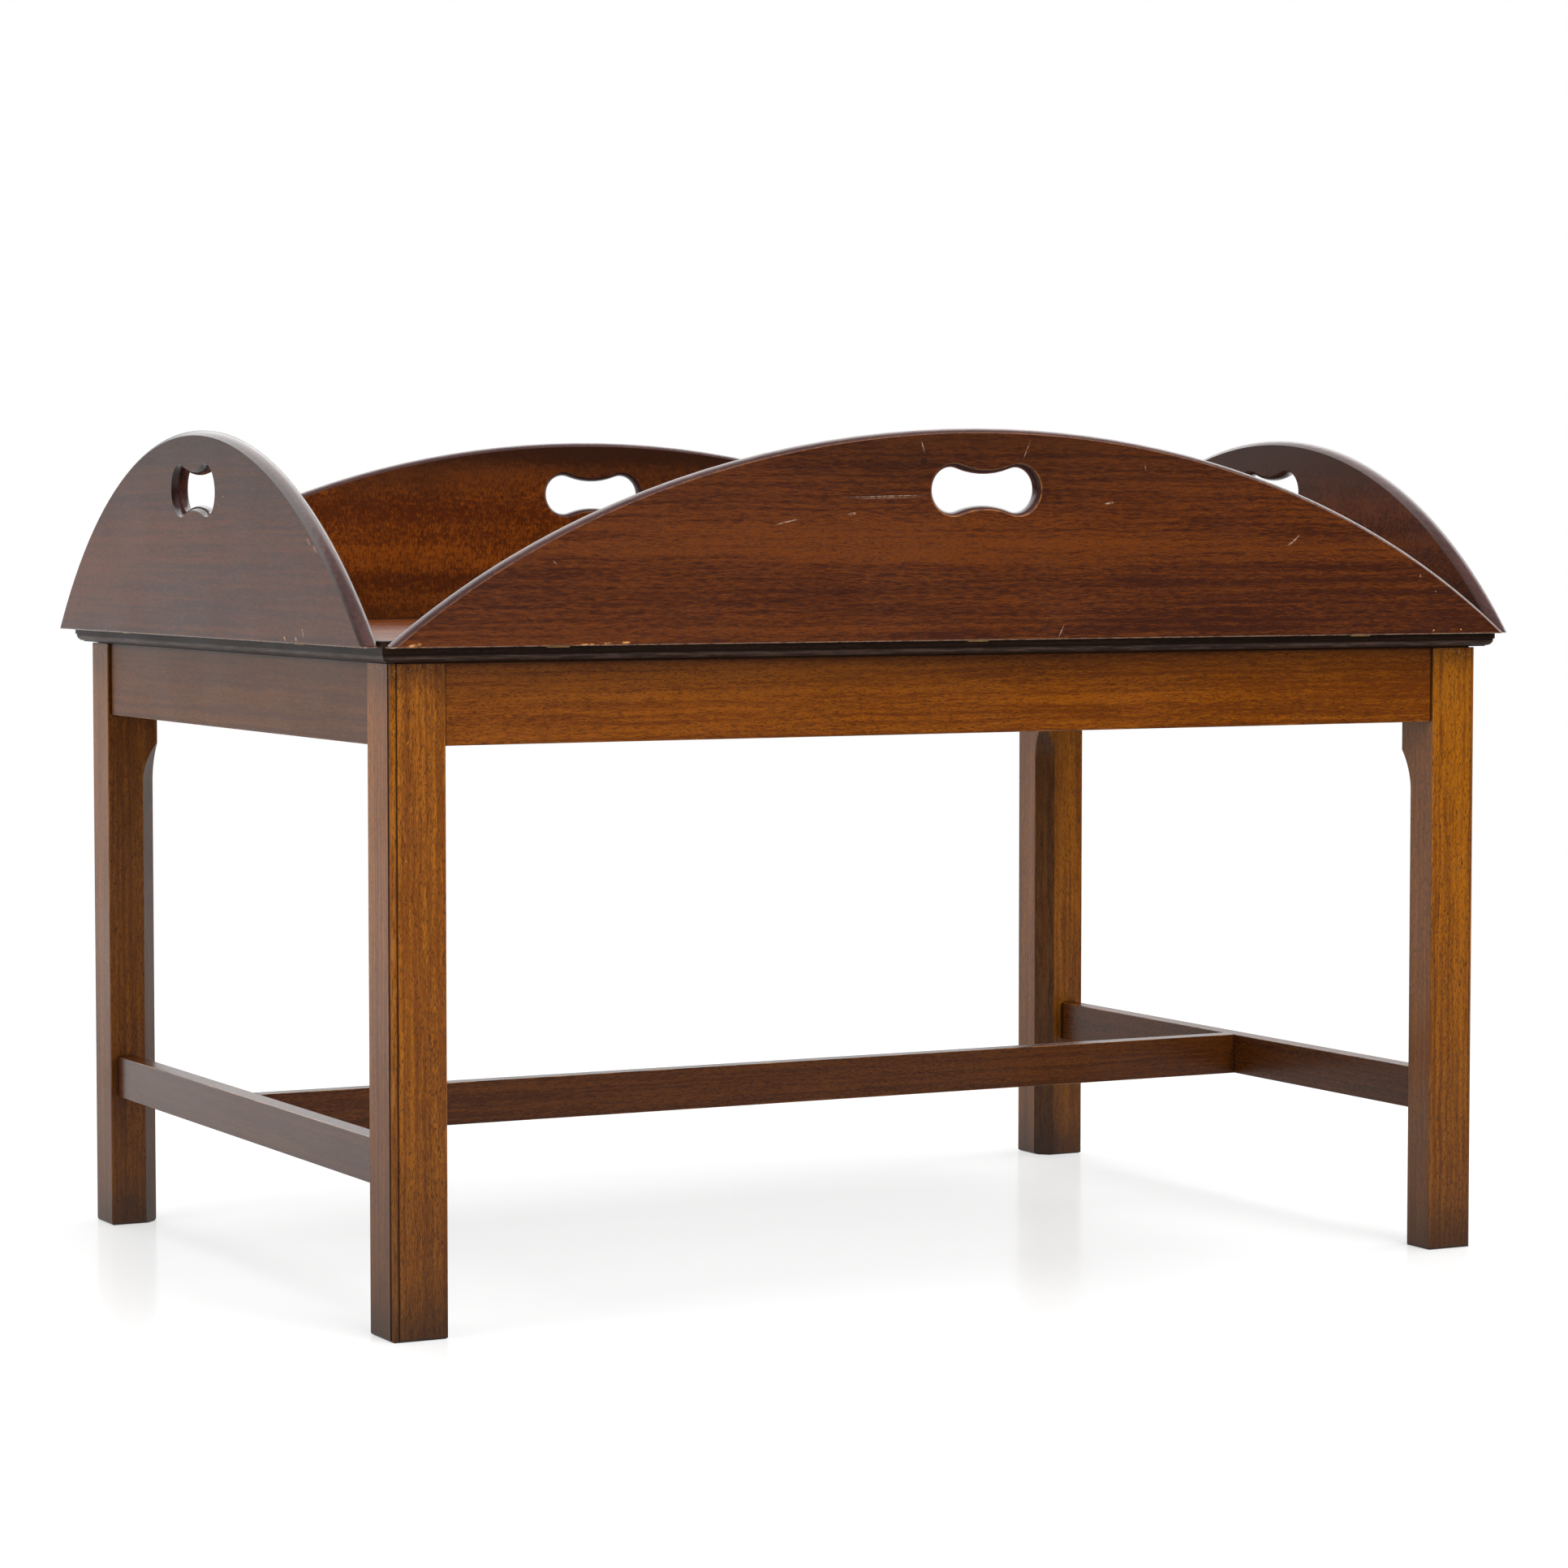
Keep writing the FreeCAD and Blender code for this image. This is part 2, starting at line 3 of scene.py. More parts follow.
import bpy
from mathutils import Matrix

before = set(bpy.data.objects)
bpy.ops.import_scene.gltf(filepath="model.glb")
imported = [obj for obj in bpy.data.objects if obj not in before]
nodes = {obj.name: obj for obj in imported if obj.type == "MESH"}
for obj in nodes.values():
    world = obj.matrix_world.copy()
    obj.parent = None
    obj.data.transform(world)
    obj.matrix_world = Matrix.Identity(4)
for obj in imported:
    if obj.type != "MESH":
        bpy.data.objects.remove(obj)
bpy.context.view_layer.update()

# Camera at the photograph's viewing angle, in metres and radians
CAMERA_PLACE = (-1.5997, -3.1056, 0.5545)
CAMERA_PITCH = 0.0580
CAMERA_YAW = 0.4787
CAMERA_LENS = 103.2

# Wood tones, linear: light wood, dark wood and pores
LEG_TONES = ((0.352, 0.112, 0.002), (0.170, 0.045, 0.002), (0.050, 0.014, 0.002))
APRON_TONES = ((0.240, 0.064, 0.001), (0.112, 0.025, 0.001), (0.042, 0.010, 0.001))
END_APRON_TONES = ((0.165, 0.048, 0.002), (0.080, 0.020, 0.001), (0.032, 0.009, 0.001))
# The stretchers' tones are darkened by painted shade from the tray above them
SHADED_STRETCHER_TONES = ((0.108, 0.030, 0.004), (0.052, 0.013, 0.002), (0.022, 0.006, 0.002))
OUTER_LEAF_TONES = ((0.130, 0.031, 0.004), (0.038, 0.009, 0.004), (0.024, 0.008, 0.007))
BACK_LEAF_TONES = ((0.185, 0.042, 0.001), (0.054, 0.010, 0.001), (0.030, 0.005, 0.001))
RIGHT_LEAF_TONES = ((0.094, 0.022, 0.003), (0.032, 0.007, 0.002), (0.018, 0.004, 0.002))
TRAY_TONES = ((0.186, 0.052, 0.011), (0.066, 0.016, 0.004), (0.034, 0.009, 0.003))
EDGE_TONES = ((0.034, 0.015, 0.008), (0.014, 0.007, 0.004), (0.007, 0.004, 0.002))
INNER_TONES = ((0.500, 0.330, 0.170), (0.340, 0.205, 0.095), (0.160, 0.090, 0.040))
RIM_TONES = ((0.056, 0.023, 0.020), (0.030, 0.012, 0.011), (0.017, 0.007, 0.007))
HONEY = (0.420, 0.170, 0.035)
RUBBED_CORNER = (0.270, 0.092, 0.018)
BARE_WOOD = (0.680, 0.310, 0.100)
RUBBED_ARRIS = (0.420, 0.280, 0.190)
WORN_EDGE = (0.120, 0.072, 0.055)
# Dark tone for dirt and dents, used also for painted shade in joints, quirks, under the tray, low inside the
# leaves and along the left and right leaves' rims
DIRT_AND_SHADE = (0.016, 0.007, 0.004)
PALE_SCRATCH = (0.420, 0.280, 0.200)

# Scratches and chips: start, end and width in metres. On the front leaf and leg they lie along X and Z,
# on the left leaf along Y and Z.
FRONT_LEAF_SCRATCHES = (
    (-0.1206, 0.5722, -0.0435, 0.5744, 0.0007),
    (-0.1130, 0.5712, -0.0450, 0.5731, 0.0005),
    (-0.1694, 0.5531, -0.1492, 0.5575, 0.0012),
    (-0.1128, 0.5604, -0.1044, 0.5615, 0.0024),
    (-0.3376, 0.5295, -0.3346, 0.5262, 0.0010),
    (0.0360, 0.6148, 0.0290, 0.5986, 0.0007),
    (-0.0539, 0.6129, -0.0505, 0.6026, 0.0011),
    (0.1316, 0.5963, 0.1324, 0.5916, 0.0012),
    (0.0972, 0.5682, 0.1068, 0.5693, 0.0018),
    (0.0611, 0.4722, 0.0663, 0.4826, 0.0009),
    (0.2558, 0.5374, 0.2650, 0.5440, 0.0014),
    (0.2590, 0.5385, 0.2671, 0.5464, 0.0012),
    (0.3756, 0.5165, 0.3757, 0.5135, 0.0010),
    (0.3893, 0.5037, 0.3908, 0.5030, 0.0010),
)
FRONT_LEAF_DENTS = (
    (-0.3583, 0.4913, -0.3499, 0.4874, 0.0016),
    (-0.2776, 0.4789, -0.2721, 0.4811, 0.0030),
    (-0.0490, 0.6010, -0.0540, 0.5950, 0.0060),
)
FRONT_LEAF_CHIPS = (
    (-0.4444, 0.4722, -0.4339, 0.4731, 0.0024),
    (-0.4374, 0.4732, -0.4328, 0.4737, 0.0020),
    (-0.3184, 0.4720, -0.3041, 0.4724, 0.0012),
    (-0.2990, 0.4726, -0.2921, 0.4728, 0.0016),
    (-0.2862, 0.4729, -0.2781, 0.4732, 0.0018),
    (0.3879, 0.4738, 0.3901, 0.4744, 0.0014),
    (0.4132, 0.4742, 0.4147, 0.4748, 0.0014),
)
LEFT_LEAF_SCRATCHES = (
    (-0.2225, 0.5441, -0.2304, 0.5394, 0.0030),
    (-0.2342, 0.5392, -0.2419, 0.5339, 0.0030),
    (-0.2093, 0.4833, -0.2118, 0.4747, 0.0024),
    (-0.1949, 0.4753, -0.1994, 0.4737, 0.0040),
    (-0.0598, 0.5739, -0.0646, 0.5727, 0.0009),
    (-0.0510, 0.5687, -0.0542, 0.5669, 0.0009),
)
LEFT_LEAF_DENTS = (
    (-0.2185, 0.5192, -0.2194, 0.5114, 0.0012),
    (0.0199, 0.5200, 0.0196, 0.5192, 0.0014),
    (0.0160, 0.5138, 0.0158, 0.5132, 0.0012),
    (-0.0791, 0.5140, -0.0793, 0.5134, 0.0012),
    (0.0925, 0.5000, 0.0922, 0.4994, 0.0012),
    (-0.1792, 0.4893, -0.1794, 0.4887, 0.0012),
)
LEFT_LEAF_CHIPS = ((-0.1734, 0.4765, -0.1777, 0.4727, 0.0026),)
FRONT_LEG_DENTS = (
    (-0.4303, 0.3728, -0.4257, 0.3776, 0.0006),
    (-0.4257, 0.3776, -0.4175, 0.3792, 0.0006),
    (-0.4232, 0.3971, -0.4184, 0.3902, 0.0006),
    (-0.4216, 0.3964, -0.4121, 0.3940, 0.0005),
    (-0.4197, 0.3891, -0.4204, 0.3842, 0.0006),
    (-0.4192, 0.3590, -0.4152, 0.3617, 0.0005),
    (-0.4199, 0.3493, -0.4181, 0.3566, 0.0006),
    (-0.4390, 0.3010, -0.4300, 0.2994, 0.0006),
    (-0.4333, 0.3038, -0.4301, 0.2988, 0.0005),
    (-0.4187, 0.3155, -0.4182, 0.2959, 0.0006),
    (-0.4221, 0.2985, -0.4215, 0.2862, 0.0005),
    (-0.4222, 0.2858, -0.4189, 0.2861, 0.0005),
    (-0.4209, 0.4196, -0.4169, 0.4159, 0.0006),
)
FRONT_LEG_SCRATCHES = (
    (-0.4362, 0.3284, -0.4345, 0.3259, 0.0009),
    (-0.4348, 0.4053, -0.4326, 0.4083, 0.0008),
)

# How far out the quirks of the legs' ovolos lie along X and Y, and the legs' inner faces
LEG_QUIRKS = (0.4417, 0.3047)
LEG_INNER = {"X": 0.4058, "Y": 0.2688}

# Underside of the leaves
LEAF_FOOT = 0.4712

# Middle of the quirk between the flat and the ovolo of the tray's edges
EDGE_QUIRK = 0.4664

# Width of the dark joint between a rail and its legs; on the rails along Y it is widened into painted shade
# beside the legs
JOINT_SHADE_WIDTH = {"X": 0.0012, "Y": 0.0030}

# Heights between which dirt, pale specks, plain darkening and painted shade fade in or out; under the tray
# and low inside the leaves it is painted shade
SHADE_UNDER_TRAY = (0.425, 0.462)
LEG_LOW = (0.03, 0.32)
LEG_FOOT = (0.022, 0.070)
LEG_CROWN = (0.455, 0.485)
LEG_SPECKS = (0.444, 0.458)
LEAF_LOW = (0.495, 0.555)
LEAF_HIGH = (0.585, 0.635)
LEAF_TOP_DARKENING = (0.580, 0.660)

# Noise: lumps to the metre along the grain and across it
GRAIN_DRIFT = (4, 11, 11)
BROAD_BANDS = (1.5, 20, 20)
STREAKS = (4, 330, 330)
FIBRES = (110, 1500, 1500)
PORES = (330, 2100, 2100)
PORE_CROWDS = (6, 60, 60)
FIGURE_BANDS = (1.0, 32, 32)
FIGURE_BLOTCHES = (150, 330, 330)
FIGURE_COMBING = (1000, 260, 260)
FIGURE_DASHES = (220, 1500, 1500)

# How much of a wood's tone lies in broad bands, in streaks and in single fibres
BOARD_SHARES = (0.20, 0.38, 0.42)
TRAY_SHARES = (0.34, 0.40, 0.26)
EDGE_SHARES = (0.14, 0.50, 0.36)
LEG_SHARES = (0.22, 0.44, 0.34)
LEAF_SHARES = (0.27, 0.31, 0.42)
RIM_SHARES = (0.45, 0.30, 0.25)

# How much of the figure's tone lies in bands, blotches, combing and dashes
FIGURE_SHARES = (0.38, 0.16, 0.26, 0.20)

# Roughness of the finishes
WAXED = 0.32
POLISHED = 0.22
LEAF_POLISH = 0.30
RIM_POLISH = 0.18
DULL_EDGE = 0.42
UNFINISHED = 0.6
RUBBED_BARE = 0.7

# Strength of the gleam
BOARD_GLEAM = 0.5
LEG_GLEAM = 0.55
APRON_GLEAM = 0.35
TRAY_GLEAM = 0.3
EDGE_GLEAM = 0.25

# How dark the open pores are
BOARD_PORES = 0.75
LEG_PORES = 0.85
LEAF_PORES = 0.6
RIM_PORES = 0.3

# Step from one piece's grain to the next one's, so that no two are alike
LEG_STEP = (0.37, 0.21)
SIDE_STEP = (0.53, 0.17)
STRETCHER_STEP = (0.41, 0.29)
BATTEN_STEP = 0.3

# How far the painted shade and the dirt reach out of joints and corners
SHADE_AND_GRIME_REACH = 0.004
EDGE_SHADE_AND_GRIME_REACH = 0.002
APRON_SHADE_AND_GRIME_REACH = 0.010

# Studio: how bright the room looks in the wood's gloss and how much it fills; then the floor, white to the
# camera and dimmer in its bounce
ROOM_BACK = 0.6
ROOM_UPPER_BACK = 2.6
ROOM_FRONT = 0.015
ROOM_CEILING = 0.55
ROOM_FILL = 0.3
FLOOR_WHITE = (0.93, 0.93, 0.93)
FLOOR_BOUNCE = (0.30, 0.30, 0.30)
FLOOR_GLOW = 0.50
FLOOR_BACK = 0.95
FLOOR_RADIUS = 9
FLOOR_FADE = (0.9, 3.0)

# Turns that lay a piece's grain along the X axis of its pattern, and the way each side faces
GRAIN_ALONG = {"X": (0, 0, 0), "Y": (0, 0, -math.pi / 2), "Z": (0, math.pi / 2, 0)}
SIDE_GRAIN = {"front": "X", "back": "X", "left": "Y", "right": "Y"}
OUTWARD = {"front": (0, -1, 0), "back": (0, 1, 0), "left": (-1, 0, 0), "right": (1, 0, 0)}

# The way each leg's inner corner faces, and how far its wood is darkened: darker wood on the back left leg,
# painted shade on the front right leg
DIAGONAL = math.sqrt(0.5)
LEGS = {
    "front_left": ((DIAGONAL, DIAGONAL, 0), 0.0),
    "front_right": ((-DIAGONAL, DIAGONAL, 0), 0.1),
    "back_left": ((DIAGONAL, -DIAGONAL, 0), 0.25),
    "back_right": ((-DIAGONAL, -DIAGONAL, 0), 0.0),
}

# Stretchers: which way the grain runs, and the gleam
STRETCHERS = {"left": ("Y", 1.0), "right": ("Y", 0.35), "middle": ("X", 0.6)}

# Leaves: wood inside, shift of the grain, gleam, corners of the rim and marks. The corners have a tone and a
# roughness, how far out they start, and the least and most of them; on the front and back leaves they are
# worn, on the left and right leaves a dark line of painted shade.
# Marks are scratches, dents and chips.
LEAVES = {
    "front": (BACK_LEAF_TONES, 0.0, 0.45, (RUBBED_CORNER, RUBBED_BARE, 0.72, 0.25, 0.8),
              (FRONT_LEAF_SCRATCHES, FRONT_LEAF_DENTS, FRONT_LEAF_CHIPS)),
    "back": (BACK_LEAF_TONES, 0.6, 0.35, (RUBBED_CORNER, RUBBED_BARE, 0.72, 0.0, 0.3), None),
    "left": (RIGHT_LEAF_TONES, 1.2, 0.48, (DIRT_AND_SHADE, RIM_POLISH, 0.45, 0.8, 0.95),
             (LEFT_LEAF_SCRATCHES, LEFT_LEAF_DENTS, LEFT_LEAF_CHIPS)),
    "right": (RIGHT_LEAF_TONES, 1.8, 0.30, (DIRT_AND_SHADE, 0.2, 0.6, 0.4, 0.6), None),
}

# Strength of a leaf's scratches, dents and chips, with their tones
MARK_TONES = ((PALE_SCRATCH, 0.7), (DIRT_AND_SHADE, 0.7), (BARE_WOOD, 0.8))

# Metals: bright tone, dull tone and roughness
BRASS = ((0.70, 0.51, 0.17), (0.43, 0.30, 0.10), 0.38)
STEEL = ((0.45, 0.44, 0.42), (0.27, 0.26, 0.25), 0.4)
STEEL_NODES = ("brace_screws", "batten_screws", "hinge_springs")

# Softboxes: place, the point each is aimed at, side and power in watts
SOFTBOXES = {
    "front_softbox": ((0.4, -3.4, 3.0), (0, 0, 0.4), 2.6, 115),
    "low_softbox": ((0.5, -4.2, 0.8), (0, 0, 0.3), 2.0, 75),
    "left_softbox": ((-3.8, -0.8, 1.4), (0, 0, 0.4), 2.0, 66),
    "right_softbox": ((3.8, 0.4, 1.4), (0, 0, 0.4), 2.0, 70),
    "back_softbox": ((-0.3, 4.2, 1.6), (0, 0, 0.4), 2.4, 110),
    "top_softbox": ((0.3, 0.2, 3.6), (0, 0, 0), 4.0, 180),
}


class Recipe:
    """The nodes of one material or of the world, put together socket by socket."""

    def __init__(self, owner):
        owner.use_nodes = True
        self.owner = owner
        self.tree = owner.node_tree
        coordinates = self.node("ShaderNodeTexCoord")
        self.place = coordinates.outputs["Object"]
        self.normal = coordinates.outputs["Normal"]
        self.direction = coordinates.outputs["Generated"]
        self.axes = self.node("ShaderNodeSeparateXYZ", self.place).outputs

    def node(self, kind, *inputs, **settings):
        """Add a node; inputs are sockets or values for its first sockets, None leaves one as it is."""
        made = self.tree.nodes.new(kind)
        for key, value in settings.items():
            setattr(made, key, value)
        for socket, value in zip(made.inputs, inputs):
            self.feed(socket, value)
        return made

    def feed(self, socket, value):
        if isinstance(value, bpy.types.NodeSocket):
            self.tree.links.new(value, socket)
        elif value is not None:
            socket.default_value = value

    def math(self, operation, *values):
        return self.node("ShaderNodeMath", *values, operation=operation).outputs[0]

    def vector(self, operation, *values):
        made = self.node("ShaderNodeVectorMath", *values, operation=operation)
        return made.outputs["Value" if operation in ("DOT_PRODUCT", "LENGTH") else "Vector"]

    def placed(self, turn, shift):
        """Object coordinates, turned and shifted for one piece."""
        return self.node("ShaderNodeMapping", self.place, shift, turn).outputs[0]

    def noise(self, vector, stretch, detail=2.0, roughness=0.5):
        """Noise with so many lumps to the metre along each axis."""
        stretched = self.vector("MULTIPLY", vector, stretch)
        return self.node("ShaderNodeTexNoise", stretched, None, 1.0, detail, roughness).outputs["Fac"]

    def ramp(self, value, low, high, first=0.0, last=1.0):
        """Smooth rise of a value between two limits."""
        made = self.node("ShaderNodeMapRange", value, low, high, first, last, interpolation_type="SMOOTHSTEP")
        return made.outputs[0]

    def between(self, share, first, second):
        """Number between two others."""
        return self.node("ShaderNodeMix", share, None, first, second).outputs[0]

    def mix(self, share, first, second):
        """Colour between two others."""
        made = self.node("ShaderNodeMix", data_type="RGBA")
        for name, value in (("Factor_Float", share), ("A_Color", first), ("B_Color", second)):
            socket = next(s for s in made.inputs if s.identifier == name)
            if isinstance(value, tuple):
                value = (*value, 1.0)
            self.feed(socket, value)
        return next(s for s in made.outputs if s.identifier == "Result_Color")

    def arris(self):
        """0 on flat faces along the axes, up to 0.7 on the rounded edges between them."""
        x, y, z = self.node("ShaderNodeSeparateXYZ", self.vector("ABSOLUTE", self.normal)).outputs
        larger, smaller = self.math("MAXIMUM", x, y), self.math("MINIMUM", x, y)
        return self.math("MAXIMUM", smaller, self.math("MINIMUM", z, larger))

    def hollow(self, reach):
        """1 deep in a corner or a joint, 0 in the open."""
        open_air = self.node("ShaderNodeAmbientOcclusion", None, reach, samples=8).outputs["AO"]
        return self.ramp(open_air, 0.35, 0.85, 1.0, 0.0)

    def strokes(self, flat, marks):
        """Mask of thin tapering strokes on a flat pair of coordinates."""
        drawn = None
        for x0, y0, x1, y1, width in marks:
            middle = ((x0 + x1) / 2, (y0 + y1) / 2, 0)
            turn = (0, 0, math.atan2(y1 - y0, x1 - x0))
            size = (math.hypot(x1 - x0, y1 - y0) / 2, width / 2, 1)
            spot = self.node("ShaderNodeMapping", flat, middle, turn, size, vector_type="TEXTURE").outputs[0]
            stroke = self.ramp(self.vector("LENGTH", spot), 0.5, 1.0, 1.0, 0.0)
            drawn = stroke if drawn is None else self.math("MAXIMUM", drawn, stroke)
        return drawn

    def surface(self, **sockets):
        """Set the shader's own sockets, written with underscores for spaces."""
        shader = self.tree.nodes["Principled BSDF"]
        for name, value in sockets.items():
            self.feed(shader.inputs[name.replace("_", " ")], value)
        return shader.outputs[0]


def new_material(name):
    return Recipe(bpy.data.materials.new(name))


def straight_grain(recipe, grain, tones, shares, open_pores):
    """Plain mahogany whose grain runs along X of the coordinates: colour and relief.

    The shares say how much of its tone lies in broad bands, in streaks and in single fibres.
    """
    light, dark, pore = tones
    drift = recipe.node("ShaderNodeTexNoise", recipe.vector("MULTIPLY", grain, GRAIN_DRIFT)).outputs["Color"]
    grain = recipe.vector("MULTIPLY_ADD", drift, (0, 0.005, 0.005), grain)
    broad = recipe.noise(grain, BROAD_BANDS, 2)
    streak = recipe.noise(grain, STREAKS, 3)
    fibre = recipe.noise(grain, FIBRES, 2, 0.6)
    tone = recipe.math("MULTIPLY", broad, shares[0])
    for layer, share in zip((streak, fibre), shares[1:]):
        tone = recipe.math("MULTIPLY_ADD", layer, share, tone)
    colour = recipe.mix(recipe.ramp(tone, 0.40, 0.60), dark, light)

    crowd = recipe.noise(grain, PORE_CROWDS, 1)
    pores = recipe.noise(grain, PORES, 1, 0.4)
    pores = recipe.math("MULTIPLY_ADD", crowd, 0.12, pores)
    pores = recipe.math("MULTIPLY", recipe.ramp(pores, 0.59, 0.73), open_pores)
    colour = recipe.mix(pores, colour, pore)
    relief = recipe.math("MULTIPLY_ADD", fibre, 0.35, recipe.math("MULTIPLY", pores, -1.0))
    return colour, relief


def mottled_grain(recipe, grain, tones):
    """Figured mahogany: golden blotches, short dashes along the grain and fine combing across it."""
    light, dark, pore = tones
    bands = recipe.noise(grain, FIGURE_BANDS, 2)
    blotch = recipe.noise(grain, FIGURE_BLOTCHES, 2, 0.6)
    comb = recipe.noise(grain, FIGURE_COMBING, 1)
    dash = recipe.noise(grain, FIGURE_DASHES, 2)
    tone = recipe.math("MULTIPLY", bands, FIGURE_SHARES[0])
    for layer, share in zip((blotch, comb, dash), FIGURE_SHARES[1:]):
        tone = recipe.math("MULTIPLY_ADD", layer, share, tone)
    colour = recipe.mix(recipe.ramp(tone, 0.43, 0.57), dark, light)
    pores = recipe.ramp(dash, 0.58, 0.70)
    colour = recipe.mix(recipe.math("MULTIPLY", pores, 0.6), colour, pore)
    return colour, recipe.math("MULTIPLY", pores, -0.4)


def finish_wood(recipe, colour, relief, roughness, shade_and_grime=SHADE_AND_GRIME_REACH, gleam=BOARD_GLEAM):
    """Wax over a board: painted shade and dirty wax darkening its joints and corners, uneven gloss and the
    relief of its pores.
    """
    # Painted shade together with dirt: darker where ambient occlusion finds a joint or a corner
    darkening = recipe.math("MULTIPLY", recipe.hollow(shade_and_grime), 0.75)
    colour = recipe.mix(darkening, colour, DIRT_AND_SHADE)
    smears = recipe.noise(recipe.place, (13, 13, 13), 3)
    gloss = recipe.math("ADD", recipe.ramp(smears, 0.3, 0.7, -0.03, 0.04), roughness)
    bump = recipe.node("ShaderNodeBump", 0.25, 0.0003, None, relief)
    recipe.surface(Base_Color=colour, Roughness=gloss, Specular_IOR_Level=gleam, Normal=bump.outputs[0])


def worn_arrises(recipe, grain, colour, tone, share=0.7):
    """Rub the finish off the rounded edges, unevenly."""
    edge_marks = recipe.ramp(recipe.noise(grain, (40, 300, 300), 4, 0.65), 0.46, 0.60)
    edge = recipe.ramp(recipe.arris(), 0.25, 0.55)
    return recipe.mix(recipe.math("MULTIPLY", recipe.math("MULTIPLY", edge_marks, edge), share), colour, tone)


def joint_shade_lines(recipe, along):
    """Dark joint lines at the two ends of a rail, where it meets the legs; on rails along Y they are widened
    into painted shade.
    """
    start = LEG_INNER[along] - JOINT_SHADE_WIDTH[along]
    return recipe.ramp(recipe.math("ABSOLUTE", recipe.axes[along]), start - 0.0006, start + 0.0004, 0.0, 0.85)


def board(name, tones, along, shift, shares=BOARD_SHARES, roughness=WAXED, worn=HONEY, shade_and_grime=SHADE_AND_GRIME_REACH,
          gleam=BOARD_GLEAM, between_legs=False):
    """Wood for one straight piece. A rail between legs gets painted shade under the tray and dark joint lines
    at its ends, widened into painted shade on rails along Y.
    """
    recipe = new_material(name)
    grain = recipe.placed(GRAIN_ALONG[along], shift)
    colour, relief = straight_grain(recipe, grain, tones, shares, BOARD_PORES)
    colour = worn_arrises(recipe, grain, colour, worn)
    if between_legs:
        # Painted shade under the tray's overhang, darker towards the top
        shade = recipe.ramp(recipe.axes["Z"], *SHADE_UNDER_TRAY, 0.0, 0.4)
        for darkening in (shade, joint_shade_lines(recipe, along)):
            colour = recipe.mix(darkening, colour, DIRT_AND_SHADE)
    finish_wood(recipe, colour, relief, roughness, shade_and_grime, gleam)
    return recipe.owner


def edge_wood(side, shift):
    """Dark mahogany for an edge of the tray, with painted shade blackening its quirk and a worn ovolo below
    it.
    """
    recipe = new_material("edge_wood_" + side)
    grain = recipe.placed(GRAIN_ALONG[SIDE_GRAIN[side]], shift)
    colour, relief = straight_grain(recipe, grain, EDGE_TONES, EDGE_SHARES, BOARD_PORES)
    edge_marks = recipe.ramp(recipe.noise(grain, (30, 400, 400), 4, 0.65), 0.42, 0.60, 0.1, 0.6)
    below = recipe.math("SUBTRACT", EDGE_QUIRK, recipe.axes["Z"])
    ovolo = recipe.math("MULTIPLY", recipe.ramp(below, 0.0006, 0.0014),
                        recipe.ramp(below, 0.0022, 0.0034, 1.0, 0.0))
    colour = recipe.mix(recipe.math("MULTIPLY", edge_marks, ovolo), colour, WORN_EDGE)
    colour = worn_arrises(recipe, grain, colour, WORN_EDGE, 0.5)
    # Painted shade: the quirk blackened towards its middle
    apart = recipe.math("ABSOLUTE", below)
    colour = recipe.mix(recipe.ramp(apart, 0.0003, 0.0009, 0.9, 0.0), colour, DIRT_AND_SHADE)
    finish_wood(recipe, colour, relief, DULL_EDGE, EDGE_SHADE_AND_GRIME_REACH, EDGE_GLEAM)
    return recipe.owner


def quirk_shade_lines(recipe):
    """Painted shade: dark lines in the two quirks beside the ovolo on a leg's outer corner."""
    x, y, z = recipe.node("ShaderNodeSeparateXYZ", recipe.vector("ABSOLUTE", recipe.place)).outputs
    lines = []
    for first, second, first_quirk, second_quirk in ((x, y, *LEG_QUIRKS), (y, x, *reversed(LEG_QUIRKS))):
        apart = recipe.math("ABSOLUTE", recipe.math("SUBTRACT", first, first_quirk))
        outside = recipe.math("GREATER_THAN", second, second_quirk)
        lines.append(recipe.math("MULTIPLY", recipe.ramp(apart, 0.0002, 0.0009, 1.0, 0.0), outside))
    return recipe.math("MAXIMUM", *lines)


